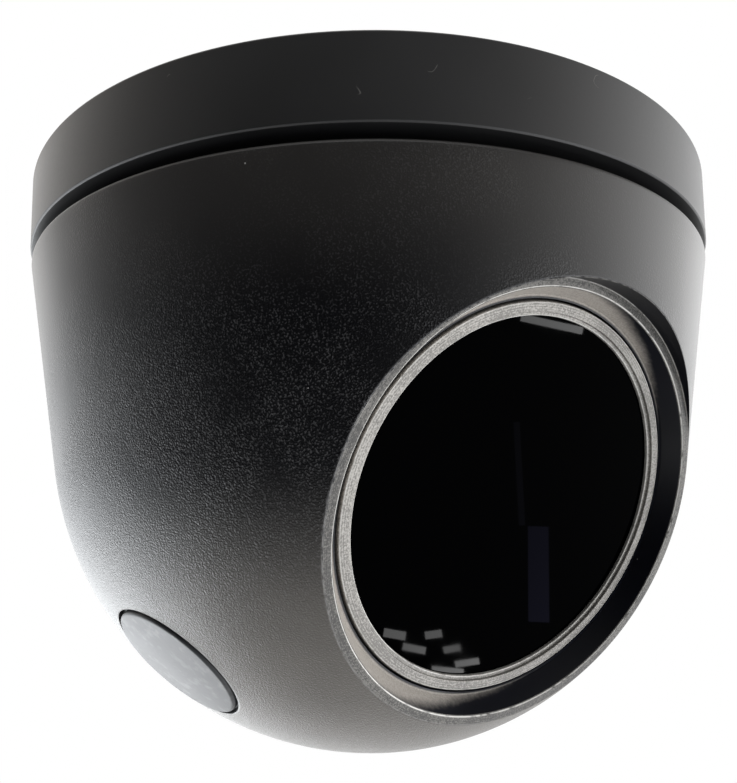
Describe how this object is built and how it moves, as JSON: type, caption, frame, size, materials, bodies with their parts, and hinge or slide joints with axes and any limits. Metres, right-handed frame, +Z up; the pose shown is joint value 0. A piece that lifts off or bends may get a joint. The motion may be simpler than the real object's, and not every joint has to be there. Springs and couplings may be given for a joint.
{
  "type": "ceiling turret camera",
  "caption": "Black ceiling turret camera: a base ring on its mounting plate, a turning round dome with a tilted window, and a lens module that tilts and rolls behind it.",
  "frame": {"origin": "centre of the ceiling face, in the middle of the ring of ceiling screws", "axes": "+Z up into the ceiling, along the axis the dome turns on; -Y the side the window looks to; +X to the right of someone who faces the same way as the window"},
  "size_m": [0.1212, 0.1212, 0.091],
  "materials": {
    "ring_plastic": "smooth satin black",
    "dome_plastic": "fine spark-eroded black grain",
    "inner_plastic": "plain moulded black",
    "glide_plastic": "slippery, natural white",
    "seal_rubber": "matt black",
    "bezel_metal": "dark anodised, fine turned lines",
    "window_black": "polished black, passes infrared",
    "sheet_steel": "zinc-plated, satin",
    "screw_steel": "plain steel",
    "post_brass": "turned brass",
    "board_green": "green solder mask",
    "board_black": "black solder mask",
    "chip_black": "matt moulded packages",
    "module_metal": "black anodised",
    "sink_metal": "plain extruded",
    "lens_glass": "coated lens glass",
    "sensor_glass": "polished sensor cover",
    "lamp_clear": "clear lamp domes"
  },
  "bodies": {
    "base": {"base_ring": "ring_plastic", "lock_screw": "screw_steel", "mounting_plate": "inner_plastic", "ceiling_gasket": "seal_rubber", "cable_grommet": "seal_rubber", "glide_ring": "glide_plastic"},
    "dome": {"dome_shell": "dome_plastic", "pan_ring": "inner_plastic", "pan_ring_screws": "screw_steel", "pan_seal": "seal_rubber", "window": "window_black", "window_gasket": "seal_rubber", "window_bezel": "bezel_metal", "service_plug": "dome_plastic", "plug_seal": "seal_rubber", "chassis": "sheet_steel", "chassis_screws": "screw_steel", "main_board": "board_green", "board_posts": "post_brass", "board_screws": "screw_steel", "board_parts": "chip_black", "friction_washers": "glide_plastic"},
    "cradle": {"tilt_cradle": "inner_plastic", "pivot_screws": "screw_steel"},
    "module": {"module_housing": "module_metal", "roll_clip": "sheet_steel", "heat_sink": "sink_metal", "heat_sink_screws": "screw_steel", "sensor_board": "board_green", "sensor_board_screws": "screw_steel", "image_sensor": "sensor_glass", "lens_holder": "inner_plastic", "lens_barrel": "module_metal", "front_lens": "lens_glass", "lens_baffle": "seal_rubber", "led_board": "board_black", "led_board_screws": "screw_steel", "infrared_leds": "lamp_clear"}
  },
  "joints": [
    {"name": "pan", "type": "hinge", "parent": "base", "child": "dome", "pos_m": [0, 0, 0], "axis": [0, 0, 1], "range_deg": [-174, 174]},
    {"name": "tilt", "type": "hinge", "parent": "dome", "child": "cradle", "pos_m": [0, -0.01996, -0.04477], "axis": [1, 0, 0], "range_deg": [-12, 12]},
    {"name": "roll", "type": "hinge", "parent": "cradle", "child": "module", "pos_m": [0, -0.01996, -0.04477], "axis": [0, -0.9239, -0.3827], "range_deg": [-90, 90]}
  ]
}
